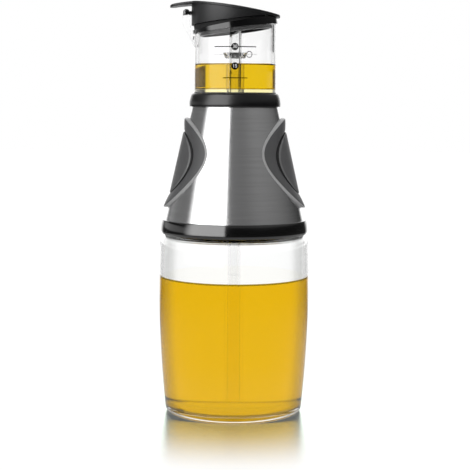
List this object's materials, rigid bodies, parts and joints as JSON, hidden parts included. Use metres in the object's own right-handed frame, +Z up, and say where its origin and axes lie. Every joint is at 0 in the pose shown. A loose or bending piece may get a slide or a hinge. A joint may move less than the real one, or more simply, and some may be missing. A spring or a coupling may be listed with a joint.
{
  "type": "oil dispenser",
  "caption": "Glass cooking-oil dispenser with a conical steel squeeze-pump head, side buttons, clear measuring chamber and a flip-up pouring lid.",
  "frame": {"origin": "centre of the bottle's foot, on the table", "axes": "+Z up along the bottle's axis, +X towards the pouring spout, -X towards the lid's thumb tongue and hinge, +Y to the back"},
  "size_m": [0.0862, 0.0862, 0.235],
  "materials": {
    "clear_glass": "clear soda-lime glass",
    "oil": "golden cooking oil, clear",
    "silicone": "soft grey silicone",
    "black_plastic": "polished black plastic",
    "lid_plastic": "dark grey plastic with a soft sheen",
    "clear_plastic": "clear plastic",
    "steel_sleeve": "stainless steel, brushed round",
    "steel_pin": "bright steel",
    "grip_plastic": "dark grey soft-touch plastic",
    "button_plastic": "dark grey soft-touch plastic"
  },
  "bodies": {
    "bottle": {"glass_bottle": "clear_glass", "bottle_oil": "oil"},
    "gasket": {"neck_gasket": "silicone"},
    "head": {"screw_collar": "black_plastic", "steel_sleeve": "steel_sleeve", "head_core": "black_plastic", "right_grip_ring": "grip_plastic", "left_grip_ring": "grip_plastic", "right_diaphragm": "silicone", "left_diaphragm": "silicone", "suction_tube": "clear_plastic", "tube_joiner": "clear_plastic", "standpipe": "clear_plastic", "splash_disc": "clear_plastic", "top_ring": "black_plastic", "chamber_seal": "silicone", "measuring_chamber": "clear_plastic", "chamber_oil": "oil", "pour_collar": "black_plastic", "hinge_pin": "steel_pin"},
    "right_button": {"right_press_button": "button_plastic"},
    "left_button": {"left_press_button": "button_plastic"},
    "lid": {"flip_lid": "lid_plastic", "lid_plug": "silicone"}
  },
  "joints": [
    {"name": "head_rise", "type": "slide", "parent": "bottle", "child": "gasket", "axis": [0, 0, 1], "range_m": [0, 0.004]},
    {"name": "head_unscrew", "type": "hinge", "parent": "gasket", "child": "head", "pos_m": [0, 0, 0.1], "axis": [0, 0, 1], "range_deg": [0, 360]},
    {"name": "right_press", "type": "slide", "parent": "head", "child": "right_button", "axis": [-1, 0, 0], "range_m": [0, 0.004], "stiffness_N_per_m": 800, "springref_m": -0.002, "deforming": ["right_diaphragm"]},
    {"name": "left_press", "type": "slide", "parent": "head", "child": "left_button", "axis": [1, 0, 0], "range_m": [0, 0.004], "stiffness_N_per_m": 800, "springref_m": -0.002, "deforming": ["left_diaphragm"]},
    {"name": "lid_open", "type": "hinge", "parent": "head", "child": "lid", "pos_m": [-0.02765, 0, 0.2285], "axis": [0, -1, 0], "range_deg": [0, 50]}
  ],
  "couplings": [
    {"joint": "head_rise", "follows": "head_unscrew", "m_per_rad": 0.00063662}
  ]
}
